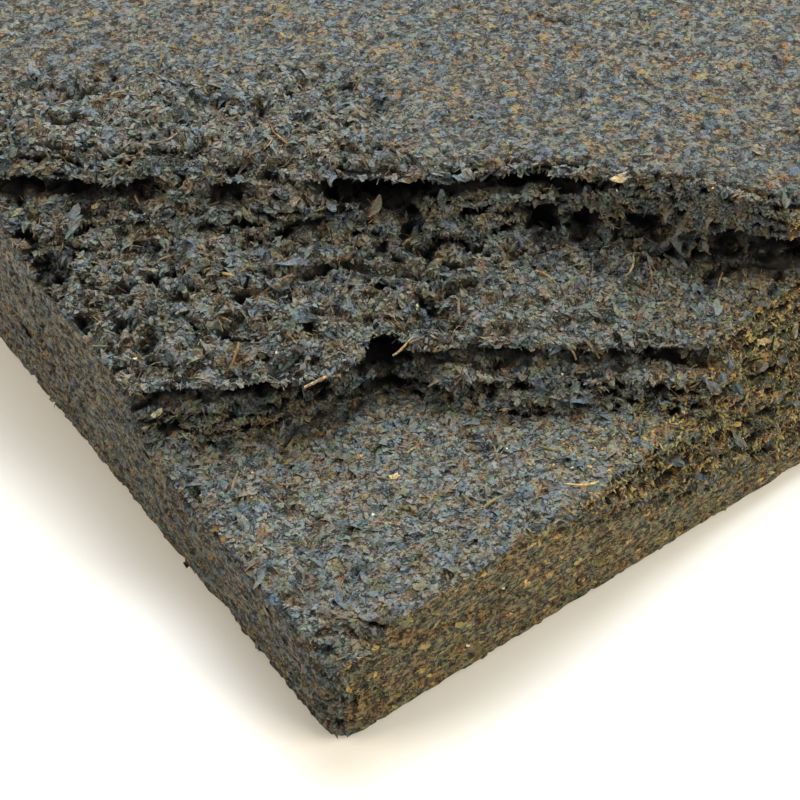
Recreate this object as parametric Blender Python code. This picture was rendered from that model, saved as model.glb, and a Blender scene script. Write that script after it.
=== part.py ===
"""Dark tea brick with a pried-off corner: one closed solid, in metres, +Z up.

The pressed block lies on its broad face. Its long side runs along X, its short side along Y, and
the origin is on the ground below its middle. Above the near corner, at -X and -Y, the upper layers
have been pried away in terraces, and the long front side is broken back in a shallow scoop.
"""

import math

import bmesh
import bpy
from mathutils import Vector, noise

NAME = "tea_brick"
MM = 0.001

# The pressed block.
LENGTH = 350 * MM
WIDTH = 185 * MM
THICKNESS = 52 * MM
CORNER_RADIUS = 5 * MM
EDGE_RADIUS = 1.6 * MM
BEVEL_SEGMENTS = 3

# The break runs inward from the near corner along this heading, measured from +X towards +Y.
PRY_HEADING = math.radians(54.8)
REACH = 130 * MM
STATION_STEP = 4.2 * MM
CLEARANCE = 20 * MM

# The lower shelf, its foot and the undercut lip above it.
SHELF_HEIGHT = 23.4 * MM
SHELF_RISE = 6 * MM
SHELF_RISE_SPREAD = 45 * MM
SHELF_LEVEL_DEPTH = 50 * MM
SHELF_DEPTHS = (-8 * MM, 8 * MM, 22 * MM, 35 * MM)
FOOT_DEPTH = 47.2 * MM
FOOT_SETBACK = 6 * MM
FOOT_BAY = 8 * MM
FOOT_BAY_PLACE = 4 * MM
FOOT_BAY_SPREAD = 17 * MM
LOWER_LIP_DEPTH = 53 * MM
LOWER_LIP_STEP = 8.5 * MM
LOWER_LIP_STEP_PLACE = 3 * MM
LOWER_LIP_STEP_SPREAD = 4 * MM
LOWER_LIP_HEIGHT = 33.5 * MM
LOWER_LIP_THICKNESS = 1.4 * MM
RISER_SHARE = 0.42
RISER_RISE = 0.55
POCKET_FLOOR = 0.72
LOWER_POCKETS = (
    (-30 * MM, 4 * MM, 4 * MM),
    (-15 * MM, 6 * MM, 5 * MM),
    (-8 * MM, 5 * MM, 3 * MM),
    (-2 * MM, 6 * MM, 4.5 * MM),
    (15 * MM, 3 * MM, 3 * MM),
    (23 * MM, 4 * MM, 2.2 * MM),
    (32 * MM, 5 * MM, 3 * MM),
    (41 * MM, 3 * MM, 1.8 * MM),
    (50 * MM, 4 * MM, 2.2 * MM),
    (59 * MM, 2 * MM, 2 * MM),
)

# The middle terrace, a stair of thin laminae that ends in a steeper step.
TERRACE_STEPS = 6
RISER_OF_STEP = 0.6
TERRACE_END_DEPTH = 82.5 * MM
TERRACE_END_HEIGHT = 40.5 * MM
TERRACE_DROP = 3 * MM
TERRACE_DROP_PLACE = 38 * MM
TERRACE_DROP_SPREAD = 14 * MM
TERRACE_PULL = 0.04
RISER_LEAN = 0.5 * MM
UPPER_LIP_DEPTH = 86.5 * MM
UPPER_LIP_HEIGHT = 44.5 * MM

# The two thin layers on top. Far to the right they come forward.
MIDDLE_LAYER_TOP = 46.5 * MM
TOP_LIP_DEPTH = 89 * MM
TOP_LIP_HEIGHT = 49.5 * MM
TOP_EDGE_RUN = 1.5 * MM
TOP_EDGE_DROP = 0.9 * MM
TOP_EDGE_FADE = 3 * MM
LEFT_EDGE_RUN = 8 * MM
LEFT_EDGE_END = 12 * MM
LAYER_PULL = 0.36
LAYER_PULL_START = 52 * MM

# To the left the top layer broke further back and lower, so its edge is a long slope.
LEFT_PLACE = -12 * MM
LEFT_SPREAD = 10 * MM
LEFT_SETBACK = 4 * MM
LEFT_TOP_DROP = 2.2 * MM
LEFT_MIDDLE_DROP = 3.7 * MM

# The crevices under those layers open in pockets: place across, reach and spread. Between
# the pockets a crevice closes and the layers meet in a plain slope.
CREVICE_REACH = 0.8 * MM
CREVICE_FLOOR = 0.3
CREVICE_ROOF = 0.7
UNDER_MIDDLE_POCKETS = (
    (-24 * MM, 3 * MM, 3 * MM),
    (-6 * MM, 3 * MM, 4 * MM),
    (38 * MM, 6 * MM, 4 * MM),
    (47 * MM, 5 * MM, 2.6 * MM),
    (57 * MM, 4 * MM, 3.4 * MM),
    (72 * MM, 3 * MM, 3 * MM),
    (81 * MM, 4 * MM, 4 * MM),
)
UNDER_TOP_POCKETS = (
    (-60 * MM, 5 * MM, 6 * MM),
    (-47 * MM, 7 * MM, 5 * MM),
    (-36 * MM, 4 * MM, 4 * MM),
    (-20 * MM, 2.5 * MM, 5 * MM),
    (8 * MM, 10 * MM, 13 * MM),
    (29 * MM, 5 * MM, 8 * MM),
    (41 * MM, 5 * MM, 6 * MM),
)

# How far the edges of the layers wander, in depth and in height.
WANDER_LENGTH = 15 * MM
DEPTH_WANDER = 2.6 * MM
HEIGHT_WANDER = 0.8 * MM
LANE_GAP = 3.7

# The scoop broken out of the long front side: where it is lowest, how its rim rises, how it leans.
SCOOP_PLACE = 130 * MM
SCOOP_LOWEST = 3.2 * MM
SCOOP_HALF_LENGTH = 131 * MM
SCOOP_LEAN = 0.39
SCOOP_STATIONS = 46
SCOOP_COURSES = 9
SCOOP_WANDER = 1.6 * MM

# Deeper hollows in the break: place across, depth inward, height, and three half-sizes.
HOLLOW_UNEVENNESS = 0.5
HOLLOW_LUMPS = 1.5
HOLLOWS = {
    "round_hole": (8.4 * MM, 62.5 * MM, 30.6 * MM, (4.9 * MM, 6.5 * MM, 3.6 * MM)),
    "left_cavity": (-28 * MM, 84.5 * MM, 44 * MM, (2.4 * MM, 4.5 * MM, 3.5 * MM)),
    "second_cavity": (-19 * MM, 84.5 * MM, 43.5 * MM, (1.8 * MM, 4.0 * MM, 3.0 * MM)),
    "middle_cavity": (14 * MM, 85 * MM, 43.5 * MM, (2.6 * MM, 4.5 * MM, 3.4 * MM)),
    "upper_cave": (8.5 * MM, 92 * MM, 46.2 * MM, (11.5 * MM, 6.0 * MM, 3.2 * MM)),
    "left_riser_hollow": (-15 * MM, 51 * MM, 29.5 * MM, (5.5 * MM, 3.5 * MM, 2.6 * MM)),
    "short_riser_hollow": (-3 * MM, 55 * MM, 30 * MM, (3.8 * MM, 3.2 * MM, 2.0 * MM)),
    "left_foot_hollow": (-29.5 * MM, 48.5 * MM, 26 * MM, (3.8 * MM, 3.0 * MM, 2.0 * MM)),
    "right_riser_hollow": (31 * MM, 60 * MM, 31 * MM, (3.6 * MM, 3.5 * MM, 2.2 * MM)),
    "far_riser_hollow": (50 * MM, 59.5 * MM, 30.8 * MM, (4.8 * MM, 3.5 * MM, 1.8 * MM)),
    "corner_chip": (2.5 * MM, 4.5 * MM, 23.5 * MM, (7.0 * MM, 4.0 * MM, 2.0 * MM)),
    "left_rim_chip": (-52 * MM, 74 * MM, 40.5 * MM, (6.0 * MM, 11.0 * MM, 5.5 * MM)),
    "left_shelf_chip": (-25.5 * MM, 34 * MM, 25.5 * MM, (5.0 * MM, 9.0 * MM, 6.0 * MM)),
}

NEAR_CORNER = Vector((-LENGTH / 2, -WIDTH / 2, 0))
INWARD = Vector((math.cos(PRY_HEADING), math.sin(PRY_HEADING), 0))
ACROSS = Vector((math.sin(PRY_HEADING), -math.cos(PRY_HEADING), 0))


def clear_scene():
    """Remove every object of the open scene."""
    for thing in list(bpy.data.objects):
        bpy.data.objects.remove(thing, do_unlink=True)


def new_collection(name):
    """Return a collection linked under the scene."""
    collection = bpy.data.collections.new(name)
    bpy.context.scene.collection.children.link(collection)
    return collection


def pressed_leaf_material():
    """Return the matte, almost black brown of fermented and pressed tea leaf."""
    material = bpy.data.materials.new("pressed_dark_tea")
    material.use_nodes = True
    shader = material.node_tree.nodes["Principled BSDF"]
    shader.inputs["Base Color"].default_value = (0.040, 0.032, 0.022, 1)
    shader.inputs["Roughness"].default_value = 0.7
    shader.inputs["Metallic"].default_value = 0.0
    return material


def object_from_bmesh(name, bm, collection):
    """Turn a bmesh into an object of the given collection."""
    bmesh.ops.recalc_face_normals(bm, faces=bm.faces)
    mesh = bpy.data.meshes.new(name)
    bm.to_mesh(mesh)
    bm.free()
    thing = bpy.data.objects.new(name, mesh)
    collection.objects.link(thing)
    return thing


def wander(place, lane, size):
    """Return a smooth irregular offset, the same on every run; each lane has its own."""
    return size * noise.noise(Vector((place / WANDER_LENGTH, lane * LANE_GAP, 0)))


def swell(place, centre, spread):
    """Return a smooth bump of height 1 at its centre."""
    return math.exp(-(((place - centre) / spread) ** 2))


def smooth_step(place, centre, spread):
    """Rise smoothly from 0 to 1 about a centre."""
    return 0.5 + 0.5 * math.tanh((place - centre) / spread)


def pocket_reach(across, pockets):
    """Return how far a crevice reaches in at one place."""
    return CREVICE_REACH + sum(reach * swell(across, place, spread) for place, reach, spread in pockets)


def pocket_opening(across, pockets):
    """Return how open a crevice is at one place, 1 in the middle of a pocket."""
    return min(sum(swell(across, place, spread) for place, reach, spread in pockets), 1)


def shelf_height(across, depth):
    """Return the shelf's height: it climbs to the right, less so towards its foot."""
    inward = min(max(depth, 0) / SHELF_LEVEL_DEPTH, 1)
    return SHELF_HEIGHT + SHELF_RISE * (1 - inward**2) * math.tanh(across / SHELF_RISE_SPREAD)


def shelf_profile(across):
    """Return the lower shelf's points as depth and height, from outside the corner to its foot."""
    foot = FOOT_DEPTH + FOOT_BAY * swell(across, FOOT_BAY_PLACE, FOOT_BAY_SPREAD)
    foot += FOOT_SETBACK * smooth_step(across, LOWER_LIP_STEP_PLACE, LOWER_LIP_STEP_SPREAD)
    foot += wander(across, 1, DEPTH_WANDER)
    points = [(-REACH, shelf_height(across, 0))]
    for lane, depth in enumerate(SHELF_DEPTHS):
        points.append((depth, shelf_height(across, depth) + wander(across, 2 + lane, HEIGHT_WANDER)))
    points.append((foot, shelf_height(across, foot)))
    return points


def riser_profile(across):
    """Return the riser between the shelf and the lip of the middle terrace, hollow in places."""
    foot_depth, foot_height = shelf_profile(across)[-1]
    lip = LOWER_LIP_DEPTH + wander(across, 7, DEPTH_WANDER)
    lip += LOWER_LIP_STEP * smooth_step(across, LOWER_LIP_STEP_PLACE, LOWER_LIP_STEP_SPREAD)
    lip_height = LOWER_LIP_HEIGHT + wander(across, 8, HEIGHT_WANDER)
    reach = pocket_reach(across, LOWER_POCKETS)
    rise = lip_height - foot_height
    middle = foot_depth + RISER_SHARE * (lip + reach - foot_depth)
    return [
        (middle, foot_height + RISER_RISE * rise),
        (lip + reach, foot_height + POCKET_FLOOR * rise),
        (lip + RISER_LEAN, lip_height - LOWER_LIP_THICKNESS),
        (lip, lip_height),
    ]


def stair(start, end, steps, across, first_lane):
    """Return a stair between two points, every edge of it wandering by itself."""
    points = []
    for step in range(1, steps + 1):
        share = step / steps
        depth = start[0] + (end[0] - start[0]) * share
        height = start[1] + (end[1] - start[1]) * share
        tread = start[1] + (end[1] - start[1]) * (share - RISER_OF_STEP / steps)
        depth += wander(across, first_lane + step, DEPTH_WANDER)
        points.append((depth - RISER_LEAN, tread))
        points.append((depth + RISER_LEAN, height))
    return points


def layer_pull(across):
    """Return how far the two top layers come forward at one place."""
    return LAYER_PULL * max(across - LAYER_PULL_START, 0)


def terrace_profile(across, lip):
    """Return the middle terrace from its lip to the underside of the middle layer.

    To the right the terrace ends lower, so the step up to that layer is taller there.
    """
    pull = TERRACE_PULL * max(across, 0)
    drop = TERRACE_DROP * smooth_step(across, TERRACE_DROP_PLACE, TERRACE_DROP_SPREAD)
    end = (TERRACE_END_DEPTH - pull, TERRACE_END_HEIGHT - drop)
    return stair(lip, end, TERRACE_STEPS, across, 10)


def crevice(below, above, across, pockets):
    """Return the two points of a crevice and the lip above it."""
    deepest = max(below[0], above[0]) + pocket_reach(across, pockets)
    opening = pocket_opening(across, pockets)
    points = []
    for share in (CREVICE_FLOOR, CREVICE_ROOF):
        slope = below[0] + share * (above[0] - below[0])
        depth = slope + opening * (deepest - slope)
        points.append((depth, below[1] + share * (above[1] - below[1])))
    return points + [above]


def layers_profile(across, terrace_end):
    """Return the two thin layers over the terrace, each with the crevice under it."""
    pull = layer_pull(across)
    left = 1 - smooth_step(across, LEFT_PLACE, LEFT_SPREAD)
    middle_drop = LEFT_MIDDLE_DROP * left
    middle_depth = UPPER_LIP_DEPTH - pull + wander(across, 20, DEPTH_WANDER)
    middle_lip = (middle_depth, UPPER_LIP_HEIGHT - middle_drop)
    middle_top = (middle_depth + RISER_LEAN, MIDDLE_LAYER_TOP - middle_drop)
    top_depth = TOP_LIP_DEPTH - pull + LEFT_SETBACK * left + wander(across, 21, DEPTH_WANDER)
    top_lip = (top_depth, TOP_LIP_HEIGHT - LEFT_TOP_DROP * left)
    run = TOP_EDGE_RUN + LEFT_EDGE_RUN * (1 - smooth_step(across, LEFT_EDGE_END, LEFT_EDGE_END))
    edge = [
        (top_lip[0] + run / 2, THICKNESS - TOP_EDGE_DROP),
        (top_lip[0] + run, THICKNESS - TOP_EDGE_DROP / 3),
        (top_lip[0] + run + TOP_EDGE_FADE, THICKNESS + TOP_EDGE_DROP / 2),
    ]
    under_middle = crevice(terrace_end, middle_lip, across, UNDER_MIDDLE_POCKETS)
    under_top = crevice(middle_top, top_lip, across, UNDER_TOP_POCKETS)
    return under_middle + [middle_top] + under_top + edge


def pried_profile(across):
    """Return the closed outline of what was pried away, at one place across the break."""
    lower = shelf_profile(across) + riser_profile(across)
    terrace = terrace_profile(across, lower[-1])
    layers = layers_profile(across, terrace[-1])
    above = THICKNESS + CLEARANCE
    roof = [(layers[-1][0], above), (-REACH, above)]
    return lower + terrace + layers + roof


def loft(rings):
    """Return a closed bmesh through rings that all have the same number of points."""
    bm = bmesh.new()
    rows = [[bm.verts.new(point) for point in ring] for ring in rings]
    count = len(rows[0])
    for row, following in zip(rows, rows[1:]):
        for index in range(count):
            after = (index + 1) % count
            bm.faces.new((row[index], row[after], following[after], following[index]))
    bm.faces.new(rows[0])
    bm.faces.new(reversed(rows[-1]))
    return bm


def pried_layers(collection):
    """Return the cutter that takes the terraced layers off the near corner."""
    stations = round(2 * REACH / STATION_STEP)
    rings = []
    for index in range(stations + 1):
        across = -REACH + 2 * REACH * index / stations
        base = NEAR_CORNER + ACROSS * across
        rings.append([base + INWARD * depth + Vector((0, 0, height))
                      for depth, height in pried_profile(across)])
    return object_from_bmesh("pried_layers", loft(rings), collection)


def scoop_rim(along):
    """Return the height at which the scoop meets the front face, a parabola along the brick."""
    rise = (THICKNESS - SCOOP_LOWEST) / SCOOP_HALF_LENGTH**2
    return SCOOP_LOWEST + rise * (along - SCOOP_PLACE) ** 2


def front_scoop(collection):
    """Return the cutter that breaks the long front side back at a lean."""
    rings = []
    for index in range(SCOOP_STATIONS + 1):
        along = SCOOP_PLACE + SCOOP_HALF_LENGTH * (2 * index / SCOOP_STATIONS - 1)
        rim = scoop_rim(along)
        ring = [(-CLEARANCE, rim - CLEARANCE / SCOOP_LEAN), (0, rim)]
        top = THICKNESS + 5 * MM
        for course in range(1, SCOOP_COURSES + 1):
            height = rim + (top - rim) * course / SCOOP_COURSES
            inset = SCOOP_LEAN * (height - rim)
            roughness = min(inset / 3, SCOOP_WANDER)
            ring.append((inset + wander(along, 40 + course, roughness), height))
        ring.append((-CLEARANCE, top))
        rings.append([NEAR_CORNER + Vector((along, inset, height)) for inset, height in ring])
    return object_from_bmesh("front_scoop", loft(rings), collection)


def hollow(name, collection):
    """Return one rounded cutter, turned with the break."""
    across, depth, height, half_sizes = HOLLOWS[name]
    middle = NEAR_CORNER + ACROSS * across + INWARD * depth + Vector((0, 0, height))
    bm = bmesh.new()
    bmesh.ops.create_icosphere(bm, subdivisions=2, radius=1)
    for vertex in bm.verts:
        lump = noise.noise(vertex.co * HOLLOW_LUMPS + middle / WANDER_LENGTH)
        x, y, z = vertex.co * (1 + HOLLOW_UNEVENNESS * lump)
        vertex.co = ACROSS * x * half_sizes[0] + INWARD * y * half_sizes[1] + Vector((0, 0, z * half_sizes[2]))
    bmesh.ops.translate(bm, verts=bm.verts, vec=middle)
    return object_from_bmesh(name, bm, collection)


def pressed_block(collection):
    """Return the whole block as it left the press, with its edges rounded."""
    bm = bmesh.new()
    bmesh.ops.create_cube(bm, size=1)
    bmesh.ops.scale(bm, verts=bm.verts, vec=(LENGTH, WIDTH, THICKNESS))
    bmesh.ops.translate(bm, verts=bm.verts, vec=(0, 0, THICKNESS / 2))
    upright = [edge for edge in bm.edges if abs(edge.verts[0].co.z - edge.verts[1].co.z) > THICKNESS / 2]
    bmesh.ops.bevel(bm, geom=upright, offset=CORNER_RADIUS, segments=BEVEL_SEGMENTS,
                    affect="EDGES", profile=0.5)
    level = [edge for edge in bm.edges if abs(edge.verts[0].co.z - edge.verts[1].co.z) < EDGE_RADIUS]
    bmesh.ops.bevel(bm, geom=level, offset=EDGE_RADIUS, segments=2, affect="EDGES", profile=0.5)
    block = object_from_bmesh(NAME, bm, collection)
    block.data.materials.append(pressed_leaf_material())
    return block


def hide_cutter(cutter):
    """Keep a cutter out of renders and show it as a wire."""
    cutter.hide_render = True
    cutter.display_type = "WIRE"


def cut(block, cutter):
    """Take a cutter's volume out of the block."""
    hide_cutter(cutter)
    modifier = block.modifiers.new(cutter.name, "BOOLEAN")
    modifier.operation = "DIFFERENCE"
    modifier.solver = "EXACT"
    modifier.object = cutter


def main():
    clear_scene()
    parts = new_collection("dark_tea_brick")
    cutters = new_collection("cutters")
    block = pressed_block(parts)
    cut(block, pried_layers(cutters))
    cut(block, front_scoop(cutters))
    for name in HOLLOWS:
        cut(block, hollow(name, cutters))


main()
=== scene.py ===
"""Dark tea brick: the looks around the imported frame, laid out as an add-on and run as a script."""

import math
import random

import bmesh
import bpy
import numpy as np
from mathutils import Matrix, Vector
from mathutils.bvhtree import BVHTree


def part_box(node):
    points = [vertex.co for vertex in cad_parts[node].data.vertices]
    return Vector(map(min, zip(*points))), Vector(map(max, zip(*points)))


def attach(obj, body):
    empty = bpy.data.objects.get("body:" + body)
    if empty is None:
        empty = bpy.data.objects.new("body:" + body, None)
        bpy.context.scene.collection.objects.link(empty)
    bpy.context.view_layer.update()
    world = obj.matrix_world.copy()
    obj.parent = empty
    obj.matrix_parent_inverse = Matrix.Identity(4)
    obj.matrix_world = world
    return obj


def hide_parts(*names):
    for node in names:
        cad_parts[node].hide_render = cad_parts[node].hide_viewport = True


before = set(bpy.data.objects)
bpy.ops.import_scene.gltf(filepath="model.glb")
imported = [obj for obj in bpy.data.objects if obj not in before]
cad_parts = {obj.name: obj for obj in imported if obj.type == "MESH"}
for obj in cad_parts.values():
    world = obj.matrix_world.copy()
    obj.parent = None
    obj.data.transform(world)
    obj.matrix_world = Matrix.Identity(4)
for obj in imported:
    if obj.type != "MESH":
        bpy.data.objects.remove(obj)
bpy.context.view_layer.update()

bl_info = {
    "name": "Dark Tea Brick",
    "version": (1, 0, 0),
    "blender": (4, 5, 0),
    "location": "View3D > Sidebar > Tea Brick",
    "description": "Builds the leaf, stalks and grit of a pried-open brick of dark tea",
    "category": "Object",
}

MM = 0.001
NODE = "tea_brick"
BODY = "root"

LOW, HIGH = (Vector(corner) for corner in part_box(NODE))
NEAR_CORNER = Vector((LOW.x, LOW.y, 0))
PIECE_LIMIT = 200_000
ENDS = ("pressed_leaf_broken_end", "pressed_leaf_whole_end")
END_TRIANGLES = 0.97 * PIECE_LIMIT

# The pried layers step back from the near corner along INWARD; ACROSS runs along their edges.
PRY_HEADING = math.radians(54.8)
INWARD = Vector((math.cos(PRY_HEADING), math.sin(PRY_HEADING), 0))
ACROSS = Vector((math.sin(PRY_HEADING), -math.cos(PRY_HEADING), 0))

# Bands, each from its low to its high end, over which one zone of the surface fades into another.
# Depths under the moulded faces and distances from arris and corner:
BREAK_DEPTH = (0.3 * MM, 1.5 * MM)
ARRIS_WEAR = (1.5 * MM, 4 * MM)
CORNER_WEAR = (5 * MM, 11 * MM)
# Heights over the ground:
SHELF_TOP = (28 * MM, 32 * MM)
TORN_TOP = (47 * MM, 49 * MM)
FOOT = (1 * MM, 6 * MM)
LEAF_FOOT = (0.4 * MM, 1.6 * MM)
RELIEF_FOOT = (0.2 * MM, 1.5 * MM)
# Across and inward from the near corner, for the torn part of the top and the calm part of the terrace:
TORN_ACROSS = (0, 16 * MM)
TORN_INWARD = (114 * MM, 128 * MM)
CALM_ACROSS = (14 * MM, 34 * MM)
CALM_START = (60 * MM, 64 * MM)
CALM_END = (74 * MM, 80 * MM)
# In from the long side, for the scoop and for its rim, and where the rim begins:
SCOOP_REACH = (30 * MM, 42 * MM)
RIM_REACH = (8 * MM, 20 * MM)
RIM_START = (34 * MM, 50 * MM)
# From the near corner along the ground, where leaf gets sparser and where faces get coarser:
LEAF_REACH = (120 * MM, 210 * MM)
FINE_REACH = (100 * MM, 170 * MM)
# Components of a face's normal, then the share of rays that the surface stops:
FACING_AXIS = (0.6, 0.9)
FACING_SCOOP = (0.18, 0.4)
FACING_UP = (0.2, 0.7)
FACING_DOWN = (-0.1, 0.4)
HOLDS_LEAF = (-0.5, 0.05)
TOO_SHELTERED = (0.22, 0.55)
# DARKENED is the band of that share over which painted shade darkens the colour.
DARKENED = (0.26, 0.64)

# How fully a zone's look shows: the torn top, worn arrises and corner, the scoop's rim, the calm part.
TORN_SHARE = 0.9
ARRIS_SHARE = 0.35
CORNER_SHARE = 0.9
RIM_SHARE = 0.75
CALM_SHARE = 0.75
# How much of the loose leaf is missing far from the break, and of the dark leaf in the scoop.
FAR_LOSS = 0.6
SCOOP_LOSS = 0.8

# Relief left on clean splits, on the undersides of layers and next to the break, as shares of that
# on the break, and how many times the break's outline is blurred for the last one.
CLEAN_FINE_SHARE = 0.42
ROOF_SHARE = 0.3
WORN_SHARE = 0.55
BLUR_STEPS = 40

# Scales of noise per metre: the layers wave over 25 mm, each has ledges about 9 mm wide, and
# flakes are bent over about a millimetre. The step sets neighbouring layers apart in the noise.
WAVE_SCALE = 40.0
LEDGE_SCALE = 110.0
WARP_SCALE = 900.0
LAYER_STEP = 13.7

# How freely faces are merged: little at the break, more far from it, fully under the brick.
LEAST_MERGING = 0.05
ADDED_MERGING = 0.85
MERGING_STEPS = 20

# Rays that measure how sheltered a point is.
RAYS = 20
RAY_LIFT = 0.2 * MM
RAY_LENGTH = 14 * MM

# Flakes drawn on the pressed mass: width and thickness.
SMALL_FLAKE = (0.8 * MM, 0.5 * MM)
LARGE_FLAKE = (1.9 * MM, 1.0 * MM)

# Smallest and largest strewn piece, as shares of the size in the settings.
SMALLEST = 0.5
LARGEST = 2.3

# Shape of a flake pressed flush: width, thickness and curl as shares of its length.
FLUSH = {"aspect": (0.35, 0.7), "thickness": (0.015, 0.03), "curl": 0.05}

# Tones of loose leaf, by the names of the colour settings, from its darkest pieces to its palest.
FLAT_TONES = "black brown slate brown grey slate brown slate grey brown black grey brown straw"
TORN_TONES = "black brown slate black grey brown slate black grey brown slate grey brown straw"
OLIVE_TONES = "black olive olive honey olive brown olive honey olive olive honey tan"
FLUSH_TONES = "black brown grey black slate brown slate olive grey"

# Typical of dry plant matter, and of the binder in matt paint.
IOR = 1.45
WHITE = (1, 1, 1)

# Lowest and highest corner of the cube from which random turns are drawn.
ALL_WAYS = ((-1.0, -1.0, -1.0), (1.0, 1.0, 1.0))

# Kinds of node that the trees below use most.
ATTRIBUTE = "ShaderNodeAttribute"
MATH = "ShaderNodeMath"
VECTOR = "ShaderNodeVectorMath"
RANGE = "ShaderNodeMapRange"
MIX = "ShaderNodeMix"
NOISE = "ShaderNodeTexNoise"
CELLS = "ShaderNodeTexVoronoi"
RAMP = "ShaderNodeValToRGB"
RANDOM = "FunctionNodeRandomValue"
READ = "GeometryNodeInputNamedAttribute"
STORE = "GeometryNodeStoreNamedAttribute"


def grey(level):
    """Return a neutral colour; over 1 it lightens what it is multiplied with."""
    return (level, level, level)


def linear(code):
    """Turn an sRGB hex colour such as #3a332a into linear red, green, blue."""
    channels = [int(code[place:place + 2], 16) / 255 for place in (1, 3, 5)]
    return tuple(c / 12.92 if c <= 0.04045 else ((c + 0.055) / 1.055) ** 2.4 for c in channels)


def length_setting(name, description, millimetres):
    """Return a length property whose default is given in millimetres."""
    return bpy.props.FloatProperty(name=name, description=description, default=millimetres * MM,
                                   subtype="DISTANCE", unit="LENGTH", precision=5)


def count_setting(name, description, number):
    """Return a property that holds how many pieces there are."""
    return bpy.props.IntProperty(name=name, description=description, default=number, min=0)


def share_setting(name, description, share):
    """Return a property that holds a share of something."""
    return bpy.props.FloatProperty(name=name, description=description, default=share, subtype="FACTOR",
                                   min=0, max=2)


def colour_setting(name, description, code):
    """Return a colour property whose default is given as an sRGB hex code."""
    return bpy.props.FloatVectorProperty(name=name, description=description, default=linear(code),
                                         subtype="COLOR", min=0, max=1)


# ---------------------------------------------------------------- settings


class TeaReliefSettings(bpy.types.PropertyGroup):
    """Sizes of the relief on the pressed mass."""

    grain: length_setting("Grain", "Edge length of the finest faces", 0.62)
    clump_size: length_setting("Clump size", "Width of the clumps that broke away", 6)
    clump_height: length_setting("Clump height", "Relief of those clumps", 1.6)
    lamina: length_setting("Lamina", "Thickness of one pressed layer of leaf", 1.7)
    lamina_shift: length_setting("Lamina shift", "How far layers stand out past each other", 3.0)
    lamina_gap: length_setting("Lamina gap", "Depth of the gaps between layers", 2.0)
    flake_width: length_setting("Flake width", "Width of a pressed leaf flake", 1.9)
    flake_depth: length_setting("Flake depth", "Thickness of a pressed leaf flake", 1.0)
    flake_relief: length_setting("Flake relief", "How far flakes tilt out of the break", 0.8)
    pore_size: length_setting("Pore size", "Width of the gaps between flakes", 2.1)
    pore_depth: length_setting("Pore depth", "Depth of those gaps", 1.7)
    hollow_share: share_setting("Hollow share", "Depth of the long hollows beside the pores", 1.1)
    shelf_share: share_setting("Shelf share", "Relief left where a layer split off cleanly", 0.4)
    pressed_share: share_setting("Pressed share", "Relief left on the moulded faces", 0.42)
    split_depth: length_setting("Split depth", "Where the broken end stops, from the near corner", 155)


class TeaLeafSettings(bpy.types.PropertyGroup):
    """Sizes and numbers of the loose leaf, stalks and grit."""

    shelf_size: length_setting("Shelf flake", "Length of the flat flakes on the terraces", 1.1)
    riser_size: length_setting("Riser flake", "Length of the ragged flakes on the steps", 1.1)
    scoop_size: length_setting("Scoop flake", "Length of the flakes on the broken side", 1.05)
    pressed_size: length_setting("Pressed flake", "Length of the flakes pressed flush", 1.4)
    crumb_size: length_setting("Crumb", "Width of the leaf crumbs", 0.6)
    stalk_size: length_setting("Stalk", "Length of the stalks", 2.8)
    fibre_size: length_setting("Fibre", "Length of the wisps", 2.0)
    curl_size: length_setting("Curl", "Length of the rolled leaves", 2.4)
    grit_size: length_setting("Grit", "Width of the pale specks", 0.55)
    shelf_count: count_setting("Shelf flakes", "Flat flakes", 19500)
    riser_count: count_setting("Riser flakes", "Ragged flakes", 20000)
    scoop_count: count_setting("Scoop flakes", "Olive flakes", 19000)
    pressed_count: count_setting("Pressed flakes", "Flush flakes", 9000)
    side_count: count_setting("Side flakes", "Flush olive flakes", 5000)
    crumb_count: count_setting("Crumbs", "Leaf crumbs", 14000)
    stalk_count: count_setting("Stalks", "Tan stalks", 420)
    fibre_count: count_setting("Fibres", "Fine wisps", 3500)
    curl_count: count_setting("Curls", "Rolled leaves", 1800)
    grit_count: count_setting("Grit", "Pale specks", 60)


class TeaColourSettings(bpy.types.PropertyGroup):
    """Colours of fermented leaf, stalk and grit."""

    # Gap is a painted shade colour: sheltered places, gaps between flakes and the broken mass under the
    # loose flakes are darkened towards it.
    gap: colour_setting("Gap", "Leaf dust deep in the gaps", "#050504")
    black: colour_setting("Black leaf", "Fully fermented leaf", "#292b24")
    # Slate is partly a blue-grey bloom on the leaf and partly a painted sheen of the cool window light.
    slate: colour_setting("Slate leaf", "Dry bloom on the upper side of a leaf", "#4c5a63")
    brown: colour_setting("Brown leaf", "Common leaf", "#544f43")
    grey: colour_setting("Grey leaf", "Worn leaf", "#6b6d62")
    olive: colour_setting("Olive leaf", "Less fermented leaf inside the brick", "#7f6f3f")
    honey: colour_setting("Honey leaf", "Pale leaf inside the brick", "#96844a")
    straw: colour_setting("Straw leaf", "Pale leaf edge", "#94865f")
    rust: colour_setting("Rust leaf", "Red-brown leaf and stalk skin", "#68503a")
    tan: colour_setting("Tan stalk", "Peeled stalk", "#a08660")
    grit: colour_setting("Grit", "Pale mineral speck", "#c9c6bc")
    # The cool patch is partly a blue-grey bloom on the leaf and partly a painted sheen of the cool window
    # light.
    cool_patch: colour_setting("Cool patch", "Tint where a blue-grey bloom lies on the leaf", "#c4daf6")
    warm_patch: colour_setting("Warm patch", "Tint where the leaf is browner", "#ffdfb0")
    green_patch: colour_setting("Green patch", "Tint of greener leaf", "#dff2d6")
    rosy_patch: colour_setting("Rosy patch", "Tint of redder leaf", "#fae6e0")
    floor: colour_setting("Floor", "Pale studio floor", "#dcdad6")


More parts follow.
